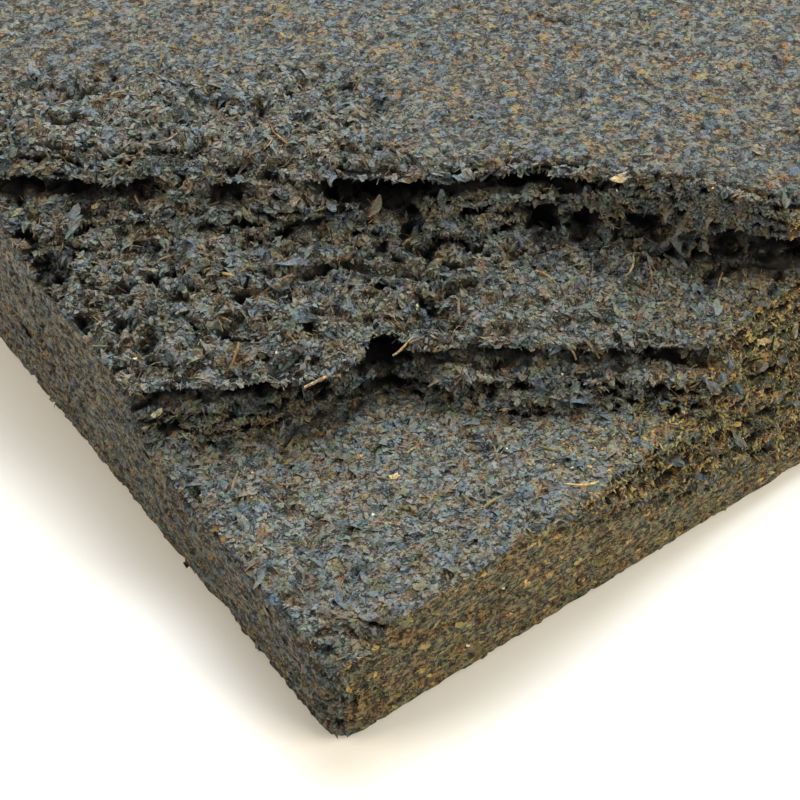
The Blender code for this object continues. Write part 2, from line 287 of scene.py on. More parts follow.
class TeaStageSettings(bpy.types.PropertyGroup):
    """Camera. Directions are measured as azimuth from the view along +Y."""

    aim: bpy.props.FloatVectorProperty(
        name="Aim", description="Point looked at, from the near corner", default=(0.0566, 0.0606, 0),
        subtype="TRANSLATION")
    distance: length_setting("Distance", "Camera to that point", 338.2)
    azimuth: bpy.props.FloatProperty(name="Azimuth", description="View heading", subtype="ANGLE",
                                     default=math.radians(-35.18))
    elevation: bpy.props.FloatProperty(name="Elevation", description="View height", subtype="ANGLE",
                                       default=math.radians(44.7))
    roll: bpy.props.FloatProperty(name="Roll", description="Camera roll", subtype="ANGLE",
                                  default=math.radians(-1.02))
    lens: bpy.props.FloatProperty(name="Lens", description="Focal length in millimetres", default=76.2)


SETTINGS = {
    "tea_relief": TeaReliefSettings,
    "tea_leaf": TeaLeafSettings,
    "tea_colours": TeaColourSettings,
    "tea_stage": TeaStageSettings,
}


# ---------------------------------------------------------------- nodes and meshes


def node(tree, kind, inputs=(), stops=(), **settings):
    """Add a node with its settings and links; a node as an input stands for its first output.

    Inputs in a row fill the sockets that the settings leave in use, and named ones go by name.
    Stops are the places and colours of a ramp.
    """
    made = tree.nodes.new(kind)
    for name, value in settings.items():
        setattr(made, name, value)
    for index, (place, colour) in enumerate(stops):
        if index == len(made.color_ramp.elements):
            made.color_ramp.elements.new(place)
        made.color_ramp.elements[index].position = place
        made.color_ramp.elements[index].color = (*colour, 1)
    sockets = [socket for socket in made.inputs if socket.enabled]
    if isinstance(inputs, dict):
        named = {socket.name: socket for socket in reversed(sockets)}
        pairs = [(named[name], value) for name, value in inputs.items()]
    else:
        pairs = zip(sockets, inputs)
    for socket, value in pairs:
        if isinstance(value, bpy.types.Node):
            value = next(output for output in value.outputs if output.enabled)
        if isinstance(value, bpy.types.NodeSocket):
            tree.links.new(value, socket)
        elif value is not None:
            socket.default_value = (*value, 1) if socket.type == "RGBA" else value
    return made


def geometry_tree(name, inputs):
    """Return a geometry node tree with a mesh input, the named inputs, and a mesh output."""
    tree = bpy.data.node_groups.new(name, "GeometryNodeTree")
    face = tree.interface
    face.new_socket("Geometry", in_out="INPUT", socket_type="NodeSocketGeometry")
    for label, kind in inputs.items():
        face.new_socket(label, in_out="INPUT", socket_type="NodeSocket" + kind)
    face.new_socket("Geometry", in_out="OUTPUT", socket_type="NodeSocketGeometry")
    return tree, node(tree, "NodeGroupInput").outputs, node(tree, "NodeGroupOutput").inputs


def run_tree(thing, tree, values):
    """Apply a geometry node tree to an object and give the object the plain result."""
    modifier = thing.modifiers.new(tree.name, "NODES")
    modifier.node_group = tree
    for socket in tree.interface.items_tree:
        if socket.in_out == "INPUT" and socket.name in values:
            modifier[socket.identifier] = values[socket.name]
    return bake_modifiers(thing)


def bake_modifiers(thing):
    """Replace an object's mesh by what its modifiers make of it, and remove the modifiers."""
    bpy.context.view_layer.update()
    shown = thing.evaluated_get(bpy.context.evaluated_depsgraph_get())
    mesh = bpy.data.meshes.new_from_object(shown)
    mesh.name = thing.name
    thing.modifiers.clear()
    thing.data = mesh
    return thing


def plain_mesh(name, bm):
    """Turn a bmesh into a mesh and free it."""
    mesh = bpy.data.meshes.new(name)
    bm.to_mesh(mesh)
    bm.free()
    return mesh


def new_object(name, mesh):
    """Return a new object in the scene's collection."""
    thing = bpy.data.objects.new(name, mesh)
    bpy.context.scene.collection.objects.link(thing)
    return thing


def triangles(mesh):
    """Return how many triangles a mesh has."""
    mesh.calc_loop_triangles()
    return len(mesh.loop_triangles)


def declare(thing):
    """Say that a finished piece rides with the brick."""
    count = triangles(thing.data)
    if not 0 < count < PIECE_LIMIT:
        raise RuntimeError(f"{thing.name} has {count} triangles")
    print(f"{thing.name}: {count} triangles")
    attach(thing, BODY)


# ---------------------------------------------------------------- zones of the surface


def read_vectors(mesh, source, name):
    """Return a mesh's vertex vectors as an array."""
    values = np.empty(len(mesh.vertices) * 3, np.float32)
    source.foreach_get(name, values)
    return values.reshape(-1, 3)


def read_attribute(mesh, name):
    """Return the number that each vertex has under a name."""
    values = np.empty(len(mesh.vertices), np.float32)
    mesh.attributes[name].data.foreach_get("value", values)
    return values


def write_attributes(mesh, columns):
    """Store one number a vertex under each name."""
    for name, values in columns.items():
        attribute = mesh.attributes.get(name) or mesh.attributes.new(name, "FLOAT", "POINT")
        attribute.data.foreach_set("value", np.ascontiguousarray(values, np.float32))


def rise(values, band):
    """Return a smooth step from 0 at the band's low end to 1 at its high end."""
    low, high = band
    share = np.clip((values - low) / (high - low), 0, 1)
    return share * share * (3 - 2 * share)


def fall(values, band):
    """Return a smooth step from 1 at the band's low end to 0 at its high end."""
    return 1 - rise(values, band)


def from_near_corner(points):
    """Return points as seen from the near corner."""
    return points - np.array(NEAR_CORNER)


def corner_distance(points):
    """Return how far along the ground points are from the near corner."""
    return np.linalg.norm(from_near_corner(points)[:, :2], axis=1)


def mark_zones(mesh):
    """Store where the surface is broken, lies flat, belongs to the scoop, or is pressed."""
    points = read_vectors(mesh, mesh.vertices, "co")
    normals = read_vectors(mesh, mesh.vertex_normals, "vector")
    offsets = from_near_corner(points)
    across, inward = offsets @ np.array(ACROSS), offsets @ np.array(INWARD)
    height, upward = points[:, 2], normals[:, 2]

    depths = np.sort(np.minimum(points - np.array(LOW), np.array(HIGH) - points), axis=1)
    torn = fall(across, TORN_ACROSS) * fall(inward, TORN_INWARD)
    torn = TORN_SHARE * torn * rise(height, TORN_TOP)
    broken = np.maximum(rise(depths[:, 0], BREAK_DEPTH), torn)
    arris = np.hypot(depths[:, 0], depths[:, 1])
    edge = ARRIS_SHARE * fall(arris, ARRIS_WEAR)
    edge = edge + CORNER_SHARE * fall(corner_distance(points), CORNER_WEAR)

    flat = rise(upward, FACING_AXIS)
    scoop = rise(normals @ np.array(ACROSS), FACING_SCOOP) * (1 - flat)
    scoop = scoop * fall(offsets[:, 1], SCOOP_REACH)
    rim = RIM_SHARE * fall(offsets[:, 1], RIM_REACH) * rise(inward, RIM_START)
    calm = CALM_SHARE * rise(across, CALM_ACROSS) * rise(upward, FACING_UP)
    calm = calm * rise(inward, CALM_START) * fall(inward, CALM_END)
    under = rise(-upward, FACING_AXIS) * (1 - broken)
    write_attributes(mesh, {
        "broken": broken,
        "flat": flat,
        "clean": np.maximum(flat * fall(height, SHELF_TOP), calm),
        "scoop": broken * np.maximum(scoop, rim),
        "side": rise(np.abs(normals[:, 1]), FACING_AXIS) * (1 - broken),
        "under": under,
        "roof": rise(-upward, FACING_DOWN) * broken,
        "edge": np.clip(edge, 0, 1) * (1 - under) * rise(height, FOOT),
    })


def mark_leaf(mesh):
    """Store how thickly each kind of loose leaf lies: sheltered gaps and far faces get less."""
    points = read_vectors(mesh, mesh.vertices, "co")
    normals = read_vectors(mesh, mesh.vertex_normals, "vector")
    zone = {name: read_attribute(mesh, name)
            for name in ("broken", "flat", "scoop", "side", "under", "shelter")}
    near = 1 - FAR_LOSS * rise(corner_distance(points), LEAF_REACH)
    bare = fall(zone["shelter"], TOO_SHELTERED) * near * rise(points[:, 2], LEAF_FOOT)
    broken = zone["broken"] * bare
    held = rise(normals[:, 2], HOLDS_LEAF)
    write_attributes(mesh, {
        "loose": broken * held,
        "shelf": broken * zone["flat"] * (1 - SCOOP_LOSS * zone["scoop"]),
        "riser": broken * held * (1 - zone["flat"]) * (1 - zone["scoop"]),
        "olive": bare * zone["scoop"],
        "pressed": (1 - zone["broken"]) * bare * (1 - zone["under"]) * (1 - zone["side"]),
        "pressed_side": (1 - zone["broken"]) * bare * zone["side"],
    })


# ---------------------------------------------------------------- the pressed mass


def shelter(tree, geometry):
    """Return, for each point, the share of rays to the open that the surface itself stops."""
    start = node(tree, "GeometryNodeRepeatInput")
    end = node(tree, "GeometryNodeRepeatOutput")
    start.pair_with_output(end)
    end.repeat_items.clear()
    end.repeat_items.new("FLOAT", "Stopped")
    start.inputs["Iterations"].default_value = RAYS
    normal = node(tree, "GeometryNodeInputNormal")
    place = node(tree, "GeometryNodeInputPosition")
    turn = node(tree, RANDOM, (*ALL_WAYS, start.outputs[0]), data_type="FLOAT_VECTOR")
    heading = node(tree, VECTOR, (normal, node(tree, VECTOR, (turn,), operation="NORMALIZE")))
    lift = node(tree, VECTOR, (normal, RAY_LIFT), operation="SCALE")
    ray = node(tree, "GeometryNodeRaycast", {
        "Target Geometry": geometry, "Source Position": node(tree, VECTOR, (place, lift)),
        "Ray Direction": heading, "Ray Length": RAY_LENGTH})
    stopped = node(tree, MATH, (start.outputs["Stopped"], ray.outputs["Is Hit"]))
    tree.links.new(stopped.outputs[0], end.inputs["Stopped"])
    return node(tree, MATH, (end.outputs["Stopped"], float(RAYS)), operation="DIVIDE")


def stretched_noise(tree, place, size, wide, high, detail):
    """Return centred noise whose patches measure a size over wide and high, across and upright."""
    across = node(tree, MATH, (wide, size), operation="DIVIDE")
    upright = node(tree, MATH, (high, size), operation="DIVIDE")
    sizes = node(tree, "ShaderNodeCombineXYZ", (across, across, upright))
    inside = node(tree, VECTOR, (place, sizes), operation="MULTIPLY")
    made = node(tree, NOISE, (inside, 1.0, detail))
    return node(tree, MATH, (made, 0.5), operation="SUBTRACT")


def layered(tree, place, given):
    """Return the relief of pressed layers: each stands out by itself, with gaps between some."""
    height = node(tree, "ShaderNodeSeparateXYZ", (place,)).outputs["Z"]
    wave = node(tree, MATH, (node(tree, NOISE, (place, WAVE_SCALE, 2.0)), 0.5), operation="SUBTRACT")
    level = node(tree, MATH, (height, given["Lamina"]), operation="DIVIDE")
    level = node(tree, MATH, (wave, 4.0, level), operation="MULTIPLY_ADD")
    layer = node(tree, MATH, (level,), operation="FLOOR")
    within = node(tree, MATH, (level,), operation="FRACT")
    apart = node(tree, MATH, (layer, LAYER_STEP), operation="MULTIPLY")
    apart = node(tree, "ShaderNodeCombineXYZ", (0.0, 0.0, apart))
    inside = node(tree, VECTOR, (place, (LEDGE_SCALE, LEDGE_SCALE, 0.0), apart), operation="MULTIPLY_ADD")
    ledges = node(tree, MATH, (node(tree, NOISE, (inside, 1.0, 2.0)), 0.5), operation="SUBTRACT")
    ledges = node(tree, MATH, (ledges, given["Lamina Shift"]), operation="MULTIPLY")
    aside = node(tree, VECTOR, (inside, (5.0, 3.0, 4.0)))
    patchy = node(tree, RANGE, (node(tree, NOISE, (aside, 1.0, 1.0)), 0.48, 0.62),
                  interpolation_type="SMOOTHSTEP")
    parting = node(tree, RANGE, (within, 0.45, 0.1), interpolation_type="SMOOTHSTEP")
    gaps = node(tree, MATH, (parting, patchy), operation="MULTIPLY")
    gaps = node(tree, MATH, (gaps, given["Lamina Gap"]), operation="MULTIPLY")
    return node(tree, MATH, (ledges, gaps), operation="SUBTRACT")


def tilted_cells(tree, inside):
    """Return cells of unit size, the random tilt of each, and the height that the tilt gives."""
    cells = node(tree, CELLS, (inside, 1.0))
    tilt = node(tree, VECTOR, (cells.outputs["Color"], grey(0.5)), operation="SUBTRACT")
    offset = node(tree, VECTOR, (inside, cells.outputs["Position"]), operation="SUBTRACT")
    return cells, tilt, node(tree, VECTOR, (tilt, offset), operation="DOT_PRODUCT")


def tilted_flakes(tree, place, given):
    """Return the relief of flat flakes, each tilted its own way."""
    warp = node(tree, NOISE, (place, WARP_SCALE, 1.0)).outputs["Color"]
    width = node(tree, MATH, (1.0, given["Flake Width"]), operation="DIVIDE")
    depth = node(tree, MATH, (1.0, given["Flake Depth"]), operation="DIVIDE")
    sizes = node(tree, "ShaderNodeCombineXYZ", (width, width, depth))
    inside = node(tree, VECTOR, (place, sizes, warp), operation="MULTIPLY_ADD")
    _, tilt, slope = tilted_cells(tree, inside)
    step = node(tree, VECTOR, (tilt, (0.5, 0.6, -0.6)), operation="DOT_PRODUCT")
    facets = node(tree, MATH, (slope, step))
    return node(tree, MATH, (facets, given["Flake Relief"]), operation="MULTIPLY")


def pitted(tree, place, given):
    """Return the depth of the pores and of the long hollows along the layers."""
    pores = stretched_noise(tree, place, given["Pore Size"], 0.5, 1.5, 3.0)
    hollows = stretched_noise(tree, place, given["Pore Size"], 0.2, 1.2, 4.0)
    small = node(tree, RANGE, (pores, 0.04, 0.18), interpolation_type="SMOOTHSTEP")
    long = node(tree, RANGE, (hollows, 0.06, 0.2), interpolation_type="SMOOTHSTEP")
    both = node(tree, MATH, (long, given["Hollow Share"], small), operation="MULTIPLY_ADD")
    return node(tree, MATH, (both, given["Pore Depth"]), operation="MULTIPLY")


def broken_relief(tree, place, given, fine):
    """Return the relief of the break: calmer where a layer split off cleanly or hangs over."""
    clean, roof = (node(tree, READ, (name,)) for name in ("clean", "roof"))
    clumps = stretched_noise(tree, place, given["Clump Size"], 0.7, 1.7, 4.0)
    clumps = node(tree, MATH, (clumps, given["Clump Height"]), operation="MULTIPLY")
    coarse = node(tree, MATH, (clumps, layered(tree, place, given)))
    coarse_left = node(tree, MIX, (clean, 1.0, given["Shelf Share"]))
    fine_left = node(tree, MIX, (clean, 1.0, CLEAN_FINE_SHARE))
    rough = node(tree, MATH, (coarse, coarse_left), operation="MULTIPLY")
    rough = node(tree, MATH, (fine, fine_left, rough), operation="MULTIPLY_ADD")
    return node(tree, MATH, (rough, node(tree, MIX, (roof, 1.0, ROOF_SHARE))), operation="MULTIPLY")


def worn_share(tree):
    """Return how far each point shows the break's relief: fully on it, partly beside it."""
    broken, edge = (node(tree, READ, (name,)) for name in ("broken", "edge"))
    near_break = node(tree, "GeometryNodeBlurAttribute", {"Value": broken, "Iterations": BLUR_STEPS})
    worn = node(tree, RANGE, (near_break, 0.03, 0.35, 0.0, WORN_SHARE), interpolation_type="SMOOTHSTEP")
    worn = node(tree, MATH, (worn, edge), operation="MAXIMUM")
    return node(tree, MATH, (worn, broken), operation="MAXIMUM")


def relief_tree():
    """Return the tree that breaks a plain surface into laminae, clumps, flakes and pores.

    Next to the ground the relief only sinks, so that the brick still rests flat.
    """
    labels = ("Clump Size", "Clump Height", "Lamina", "Lamina Shift", "Lamina Gap", "Flake Width",
              "Flake Depth", "Flake Relief", "Pore Size", "Pore Depth", "Hollow Share", "Shelf Share",
              "Pressed Share")
    tree, given, result = geometry_tree("pressed_leaf_relief", dict.fromkeys(labels, "Float"))
    place = node(tree, "GeometryNodeInputPosition")
    fine = node(tree, MATH, (tilted_flakes(tree, place, given), pitted(tree, place, given)),
                operation="SUBTRACT")
    pressed = node(tree, MATH, (fine, given["Pressed Share"]), operation="MULTIPLY")
    rough = broken_relief(tree, place, given, fine)
    mixed = node(tree, MIX, (worn_share(tree), pressed, rough))
    height = node(tree, "ShaderNodeSeparateXYZ", (place,)).outputs["Z"]
    standing = node(tree, RANGE, (height, *RELIEF_FOOT), interpolation_type="SMOOTHSTEP")
    sunk = node(tree, MATH, (node(tree, MATH, (mixed,), operation="ABSOLUTE"), -1.0), operation="MULTIPLY")
    total = node(tree, MIX, (standing, sunk, mixed))
    shift = node(tree, VECTOR, (node(tree, "GeometryNodeInputNormal"), total), operation="SCALE")
    moved = node(tree, "GeometryNodeSetPosition", {"Geometry": given["Geometry"], "Offset": shift})
    stored = node(tree, STORE, {"Geometry": moved, "Name": "shelter", "Value": shelter(tree, moved)},
                  data_type="FLOAT", domain="POINT")
    tree.links.new(stored.outputs[0], result["Geometry"])
    return tree


def brick_copy(name):
    """Return a merged copy of the brick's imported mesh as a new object."""
    bm = bmesh.new()
    bm.from_mesh(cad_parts[NODE].data)
    bmesh.ops.remove_doubles(bm, verts=bm.verts, dist=0.001 * MM)
    return new_object(name, plain_mesh(name, bm))


def split_off(mass, name, depth, near):
    """Return one closed end of the mass, cut straight across at a depth from the near corner."""
    bm = bmesh.new()
    bm.from_mesh(mass.data)
    cut = bmesh.ops.bisect_plane(
        bm, geom=[*bm.verts, *bm.edges, *bm.faces], plane_co=NEAR_CORNER + depth * INWARD, plane_no=INWARD,
        clear_outer=near, clear_inner=not near)
    rim = [edge for edge in cut["geom_cut"] if isinstance(edge, bmesh.types.BMEdge)]
    bmesh.ops.triangle_fill(bm, edges=rim, use_dissolve=False)
    bmesh.ops.recalc_face_normals(bm, faces=bm.faces)
    return new_object(name, plain_mesh(name, bm))


def thin_out(thing, limit):
    """Bring a mesh under a number of triangles, keeping the broken corner the finest."""
    mesh = thing.data
    points = read_vectors(mesh, mesh.vertices, "co")
    freely = ADDED_MERGING * rise(corner_distance(points), FINE_REACH) + LEAST_MERGING
    freely[points[:, 2] < 1.0 * MM] = 1
    group = thing.vertex_groups.new(name="thinned")
    levels = np.round(freely * MERGING_STEPS).astype(int)
    for level in np.unique(levels):
        group.add(np.nonzero(levels == level)[0].tolist(), float(level) / MERGING_STEPS, "REPLACE")
    thinner = thing.modifiers.new("thinner", "DECIMATE")
    thinner.ratio = limit / triangles(mesh)
    thinner.vertex_group = group.name
    bake_modifiers(thing)
    thing.vertex_groups.clear()


class TEA_OT_press_mass(bpy.types.Operator):
    """Build the pressed mass of leaf from the brick's solid"""

    bl_idname = "tea.press_mass"
    bl_label = "Press the mass"

    def execute(self, context):
        sizes = context.scene.tea_relief
        mass = brick_copy("whole_mass")
        remesh = mass.modifiers.new("grain", "REMESH")
        remesh.mode = "VOXEL"
        remesh.voxel_size = sizes.grain
        remesh.adaptivity = 0
        bake_modifiers(mass)
        mark_zones(mass.data)
        values = {name.replace("_", " ").title(): getattr(sizes, name) for name in sizes.__annotations__}
        run_tree(mass, relief_tree(), values)
        material = pressed_leaf()
        for name, near in zip(ENDS, (True, False)):
            end = split_off(mass, name, sizes.split_depth, near)
            thin_out(end, END_TRIANGLES)
            end.data.materials.clear()
            end.data.materials.append(material)
            end.data.shade_flat()
            declare(end)
            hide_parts(NODE)
        bpy.data.objects.remove(mass)
        return {"FINISHED"}


# ---------------------------------------------------------------- materials


def surface(name, roughness):
    """Return a new material, its tree and its Principled shader."""
    material = bpy.data.materials.new(name)
    material.use_nodes = True
    tree = material.node_tree
    tree.nodes.clear()
    shader = node(tree, "ShaderNodeBsdfPrincipled", {"Roughness": roughness, "IOR": IOR})
    node(tree, "ShaderNodeOutputMaterial", {"Surface": shader})
    return material, tree, shader


def add_bump(tree, shader, height, distance):
    """Give a shader bumps of a height, which is 1 at their full distance."""
    bump = node(tree, "ShaderNodeBump", {"Strength": 1.0, "Distance": distance, "Height": height})
    tree.links.new(bump.outputs[0], shader.inputs["Normal"])


def leaf_stops(tones):
    """Return ramp stops spread evenly over leaf colours, given as words in one string."""
    colours = [getattr(bpy.context.scene.tea_colours, tone) for tone in tones.split()]
    return tuple((index / (len(colours) - 1), colour) for index, colour in enumerate(colours))


def leaf_cells(tree, place, width, depth):
    """Return tones, tilt and gaps of flat-lying flakes of a given width and thickness."""
    scaled = node(tree, VECTOR, (place, (1 / width, 1 / width, 1 / depth)), operation="MULTIPLY")
    warp = node(tree, NOISE, (scaled, 1.3, 3.0)).outputs["Color"]
    inside = node(tree, VECTOR, (warp, grey(0.9), scaled), operation="MULTIPLY_ADD")
    cells, _, slope = tilted_cells(tree, inside)
    edge = node(tree, CELLS, (inside, 1.0), feature="DISTANCE_TO_EDGE")
    return node(tree, "ShaderNodeSeparateColor", (cells.outputs["Color"],)), slope, edge


def patches(tree, place, colour):
    """Return a colour with soft patches a few millimetres wide: cool or warm, green or rosy. The cool
    patches are partly bloom and partly painted sheen.
    """
    colours = bpy.context.scene.tea_colours
    aside = node(tree, VECTOR, (place, (0.2, 0.3, 0.1)))
    for where, width, detail, low, high in (
            (place, 3 * MM, 4.0, colours.cool_patch, colours.warm_patch),
            (aside, 2 * MM, 3.0, colours.green_patch, colours.rosy_patch)):
        cloud = node(tree, NOISE, (where, 1 / width, detail))
        tint = node(tree, RAMP, (cloud,), stops=((0.36, low), (0.5, WHITE), (0.64, high)))
        colour = node(tree, MIX, (1.0, colour, tint), data_type="RGBA", blend_type="MULTIPLY")
    return colour


def paint(tree, shader, colour, gap):
    """Colour a shader with painted shade: sheltered places and gaps fall off to the near-black gap colour,
    without gloss.
    """
    shut = node(tree, ATTRIBUTE, attribute_name="shelter").outputs["Fac"]
    # Painted shade: the more rays the surface around a point stops, the nearer its colour comes to the gap
    # colour, and the rougher it gets.
    sunk = node(tree, RANGE, (shut, *DARKENED), interpolation_type="SMOOTHSTEP")
    dull = node(tree, MATH, (sunk, gap), operation="MAXIMUM")
    colour = node(tree, MIX, (dull, colour, bpy.context.scene.tea_colours.gap), data_type="RGBA")
    tree.links.new(colour.outputs[2], shader.inputs["Base Color"])
    roughness = shader.inputs["Roughness"]
    matt = node(tree, RANGE, (dull, 0.0, 1.0, roughness.default_value, 1.0))
    tree.links.new(matt.outputs[0], roughness)


def pressed_colour(tree, place, small, large, fine):
    """Return the colour of the mass: small and large flakes by turns, olive in scoop and side."""
    stops = leaf_stops("black brown slate grey brown slate olive rust")
    choice = node(tree, RANGE, (large.outputs["Green"], 0.45, 0.55), interpolation_type="SMOOTHSTEP")
    leaf = node(tree, MIX, (choice, node(tree, RAMP, (small,), stops), node(tree, RAMP, (large,), stops)),
                data_type="RGBA")
    olive = node(tree, RAMP, (small,), leaf_stops("black olive olive brown olive olive honey"))
    # The olive also tints the long moulded faces, less fully than the scoop.
    for zone, share in (("scoop", 0.95), ("side", 0.8)):
        shown = node(tree, ATTRIBUTE, attribute_name=zone).outputs["Fac"]
        shown = node(tree, MATH, (shown, share), operation="MULTIPLY")
        leaf = node(tree, MIX, (shown, leaf, olive), data_type="RGBA")
    mottle = node(tree, RAMP, (fine,), stops=((0.3, grey(0.4)), (0.5, grey(0.95)), (0.7, grey(1.6))))
    return node(tree, MIX, (0.9, patches(tree, place, leaf), mottle), data_type="RGBA",
                blend_type="MULTIPLY")


def pressed_gaps(tree, place, small_edge, large_edge):
    """Return where gaps get painted shade: between some small flakes, between most large ones, and in
    holes.
    """
    patchy = node(tree, NOISE, (place, 1 / (1.2 * MM), 2.0))
    some = node(tree, RANGE, (patchy, 0.5, 0.6), interpolation_type="SMOOTHSTEP")
    most = node(tree, RANGE, (patchy, 0.42, 0.55), interpolation_type="SMOOTHSTEP")
    thin = node(tree, RANGE, (small_edge, 0.12, 0.03), interpolation_type="SMOOTHSTEP")
    thin = node(tree, MATH, (thin, some), operation="MULTIPLY")
    broad = node(tree, RANGE, (large_edge, 0.08, 0.02), interpolation_type="SMOOTHSTEP")
    broad = node(tree, MATH, (broad, most), operation="MULTIPLY")
    hole_sizes = (1 / (1.3 * MM), 1 / (1.3 * MM), 1 / (0.7 * MM))
    squat = node(tree, VECTOR, (place, hole_sizes), operation="MULTIPLY")
    hole = node(tree, RANGE, (node(tree, NOISE, (squat, 1.0, 4.0, 0.65)), 0.52, 0.59),
                interpolation_type="SMOOTHSTEP")
    gap = node(tree, MATH, (thin, broad), operation="MAXIMUM")
    return node(tree, MATH, (gap, hole), operation="MAXIMUM")


def pressed_leaf():
    """Post-fermented tea leaf pressed in a mould: flakes lie flat, so the sides show thin streaks.

    The dry leaf is nearly black with a faint satin gloss, and the gaps that part the flakes are painted in
    shade.
    """
    material, tree, shader = surface("pressed_fermented_tea_leaf", roughness=0.55)
    place = node(tree, "ShaderNodeTexCoord").outputs["Object"]
    small, small_slope, small_edge = leaf_cells(tree, place, *SMALL_FLAKE)
    large, large_slope, large_edge = leaf_cells(tree, place, *LARGE_FLAKE)
    fine = node(tree, NOISE, (place, 1 / (0.4 * MM), 4.0, 0.75))
    leaf = pressed_colour(tree, place, small, large, fine)
    gap = pressed_gaps(tree, place, small_edge, large_edge)
    broken = node(tree, ATTRIBUTE, attribute_name="broken").outputs["Fac"]
    clean = node(tree, ATTRIBUTE, attribute_name="clean").outputs["Fac"]
    # Painted shade: on the break the mass between the loose flakes is darkened towards the gap colour, by
    # half, and by less on clean splits.
    shaded_base = node(tree, MATH, (broken, node(tree, MIX, (clean, 0.5, 0.15))), operation="MULTIPLY")
    leaf = node(tree, MIX, (shaded_base, leaf, bpy.context.scene.tea_colours.gap), data_type="RGBA")
    paint(tree, shader, leaf, node(tree, MATH, (gap, 0.85), operation="MULTIPLY"))

    height = node(tree, MATH, (fine, 0.9), operation="MULTIPLY")
    for relief, share in ((small_slope, 0.9), (large_slope, 1.8), (gap, -0.9)):
        height = node(tree, MATH, (relief, share, height), operation="MULTIPLY_ADD")
    add_bump(tree, shader, height, 0.6 * MM)
    return material


def leaf_flake(name, tones, roughness, contrast=0.85):
    """Torn and flattened pieces of fermented leaf.

    Each has its own tone and a wrinkled satin skin, darker in the dents of its wrinkles and lighter on
    their crests.
    """
    material, tree, shader = surface(name, roughness)
    place = node(tree, "ShaderNodeTexCoord").outputs["Object"]
    own = node(tree, ATTRIBUTE, attribute_name="tone").outputs["Fac"]
    mottle = node(tree, NOISE, (place, 1 / (0.8 * MM), 4.0, 0.6))
    tone = node(tree, MATH, (own, 0.45, -0.1), operation="MULTIPLY_ADD")
    tone = node(tree, MATH, (mottle, 0.75, tone), operation="MULTIPLY_ADD")
    colour = patches(tree, place, node(tree, RAMP, (tone,), leaf_stops(tones)))
    wrinkle = node(tree, NOISE, (place, 1 / (0.4 * MM), 4.0, 0.7))
    # The colour follows the wrinkle bump: darker in its dents, lighter on its crests.
    wrinkle_tone = node(tree, RAMP, (wrinkle,), stops=((0.32, grey(0.25)), (0.5, grey(0.95)), (0.68, grey(1.6))))
    colour = node(tree, MIX, (contrast, colour, wrinkle_tone), data_type="RGBA", blend_type="MULTIPLY")
    # Sheltered places get painted shade.
    paint(tree, shader, colour, 0.0)
    add_bump(tree, shader, wrinkle, 0.3 * MM)
    return material


def stalk_skin():
    """Dry tea stalk: peeled wood is tan, skin is rust brown, both streaked and matte."""
    return leaf_flake("dry_tea_stalk", "black brown olive brown rust tan straw", roughness=0.6)


def grit_mineral():
    """Pale mineral grit caught in the leaf: dull and off-white."""
    return leaf_flake("pale_mineral_grit", "straw grit grit grit", roughness=0.7)


# ---------------------------------------------------------------- shapes of leaf and stalk


# Each shape has unit length, so the numbers in it are shares of a piece's own length.


def chip_mesh(name, rng, corners, aspect, thickness, curl):
    """Return one torn leaf chip: an irregular rim, bent along its length, with two blunt tips."""
    bm = bmesh.new()
    rim = []
    for corner in range(corners):
        angle = 2 * math.pi * (corner + rng.uniform(-0.25, 0.25)) / corners
        reach = 0.5 * rng.uniform(0.5, 1.15)
        x, y = reach * math.cos(angle), aspect * reach * math.sin(angle)
        rim.append(bm.verts.new((x, y, curl * x * x + rng.uniform(-0.04, 0.04))))
    top = bm.verts.new((rng.uniform(-0.15, 0.15), rng.uniform(-0.1, 0.1) * aspect, thickness))
    bottom = bm.verts.new((0, 0, -thickness))
    for index, vert in enumerate(rim):
        after = rim[(index + 1) % corners]
        bm.faces.new((vert, after, top))
        bm.faces.new((after, vert, bottom))
    return plain_mesh(name, bm)


def chips(name, count, seed, aspect, thickness, curl):
    """Return several different leaf chips, drawn between the given limits."""
    rng = random.Random(seed)
    made = []
    for index in range(count):
        corners = 4 + min(index % 3, 1)
        made.append(chip_mesh(f"{name}_{index:02d}", rng, corners, rng.uniform(*aspect),
                              rng.uniform(*thickness), rng.uniform(-curl, curl)))
    return made


def tube_mesh(name, rings):
    """Return a closed mesh through rings of points, capped at both ends."""
    bm = bmesh.new()
    rows = [[bm.verts.new(point) for point in ring] for ring in rings]
    for row, following in zip(rows, rows[1:]):
        for index in range(len(row)):
            after = (index + 1) % len(row)
            bm.faces.new((row[index], row[after], following[after], following[index]))
    bm.faces.new(reversed(rows[0]))
    bm.faces.new(rows[-1])
    return plain_mesh(name, bm)


def stem_mesh(name, rng, thickness, bend, steps, sides):
    """Return a bent stem of unit length lying along X."""
    turn, kink = rng.uniform(-bend, bend), rng.uniform(-bend, bend)
    rings = []
    for step in range(steps + 1):
        along = step / steps - 0.5
        centre = Vector((along, turn * (along * along - 0.1), kink * math.sin(3 * along) * 0.3))
        radius = thickness * (1 - 0.5 * abs(along)) * rng.uniform(0.8, 1.15)
        angles = [2 * math.pi * side / sides for side in range(sides)]
        rings.append([centre + radius * Vector((0, math.cos(angle), math.sin(angle))) for angle in angles])
    return tube_mesh(name, rings)


def curl_mesh(name, rng, steps):
    """Return a leaf rolled into a twisted strip of unit length along X."""
    rings = []
    twist, arch = rng.uniform(1.5, 4.0), rng.uniform(-0.35, 0.35)
    for step in range(steps + 1):
        along = step / steps - 0.5
        width = 0.16 * (1 - (1.7 * along) ** 2) + 0.03
        angle = twist * along
        side = Vector((0, math.cos(angle), math.sin(angle))) * width
        lift = Vector((0, -math.sin(angle), math.cos(angle))) * 0.05
        centre = Vector((along, arch * along * along, rng.uniform(-0.03, 0.03)))
        rings.append([centre + corner for corner in (side, lift, -side, -lift)])
    return tube_mesh(name, rings)


# ---------------------------------------------------------------- loose leaf


